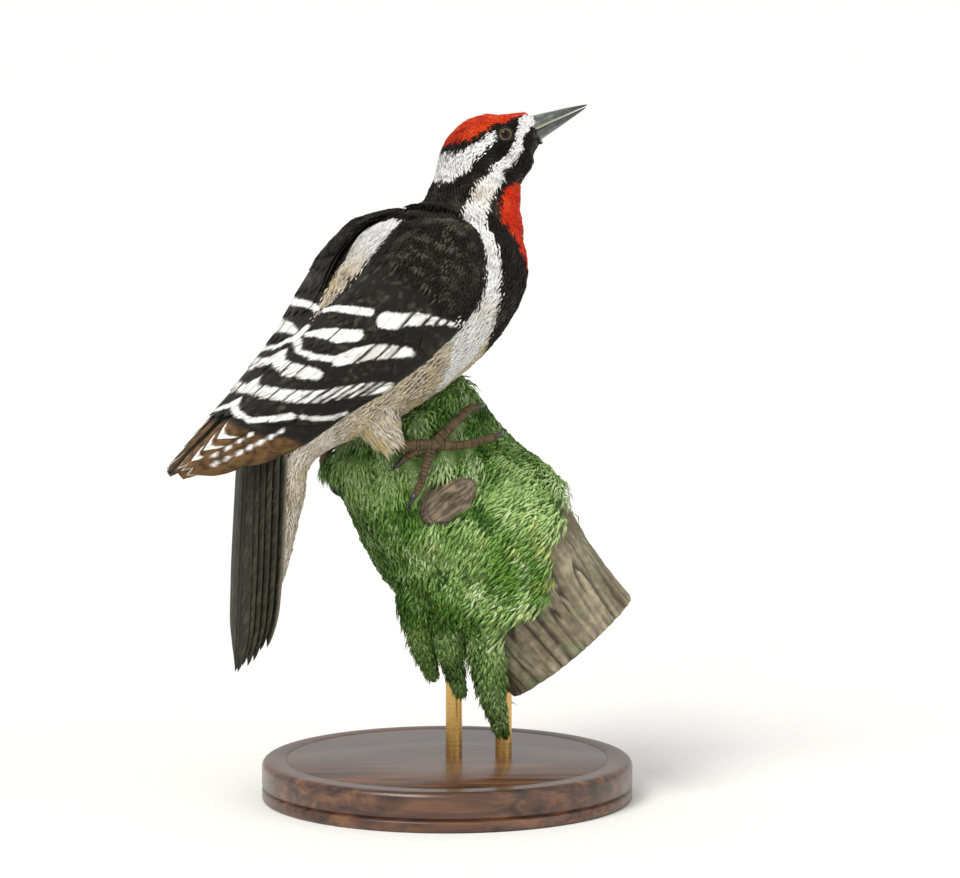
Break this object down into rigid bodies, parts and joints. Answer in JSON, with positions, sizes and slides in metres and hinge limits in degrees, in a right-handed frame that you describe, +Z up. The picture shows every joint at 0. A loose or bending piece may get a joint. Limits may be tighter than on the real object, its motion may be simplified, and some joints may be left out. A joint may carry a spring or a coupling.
{
  "type": "male yellow-bellied sapsucker woodpecker model on a mossy perch",
  "caption": "Still life-size model of a male sapsucker woodpecker clinging to a mossy branch stub, held on rods over a round wooden display base.",
  "frame": {"origin": "centre of the flat underside of the stand's round base", "axes": "+Z up, along the model's height; +X the way the bird's head points; -Y the side of the bird that faces the viewer"},
  "size_m": [0.1371, 0.1156, 0.2092],
  "materials": {
    "feather_head": "red, black and white head feathers",
    "feather_body": "black, white and buff body feathers",
    "feather_wing": "black wing feathers barred white",
    "feather_tail": "black tail feathers, buff coverts below",
    "bill": "slate horn, satin",
    "eye": "dark brown, wet gloss",
    "foot": "brown scaled skin",
    "claw": "dark horn",
    "bark": "weathered bark and bare wood",
    "moss": "tufted green moss",
    "base_wood": "dark turned wood, satin varnish",
    "rod": "brushed brass"
  },
  "bodies": {
    "root": {"head": "feather_head", "neck": "feather_body", "trunk": "feather_body", "thigh_right": "feather_body", "thigh_left": "feather_body", "wing_right": "feather_wing", "wing_left": "feather_wing", "tail": "feather_tail", "bill_upper": "bill", "bill_lower": "bill", "eye_right": "eye", "eye_left": "eye", "foot_right": "foot", "foot_left": "foot", "claw_right_front_outer": "claw", "claw_right_front_inner": "claw", "claw_right_back_outer": "claw", "claw_right_hallux": "claw", "claw_left_front_outer": "claw", "claw_left_front_inner": "claw", "claw_left_back_outer": "claw", "claw_left_hallux": "claw", "perch_branch": "bark", "perch_moss": "moss", "stand_base": "base_wood", "stand_rod_1": "rod", "stand_rod_2": "rod"}
  },
  "joints": []
}
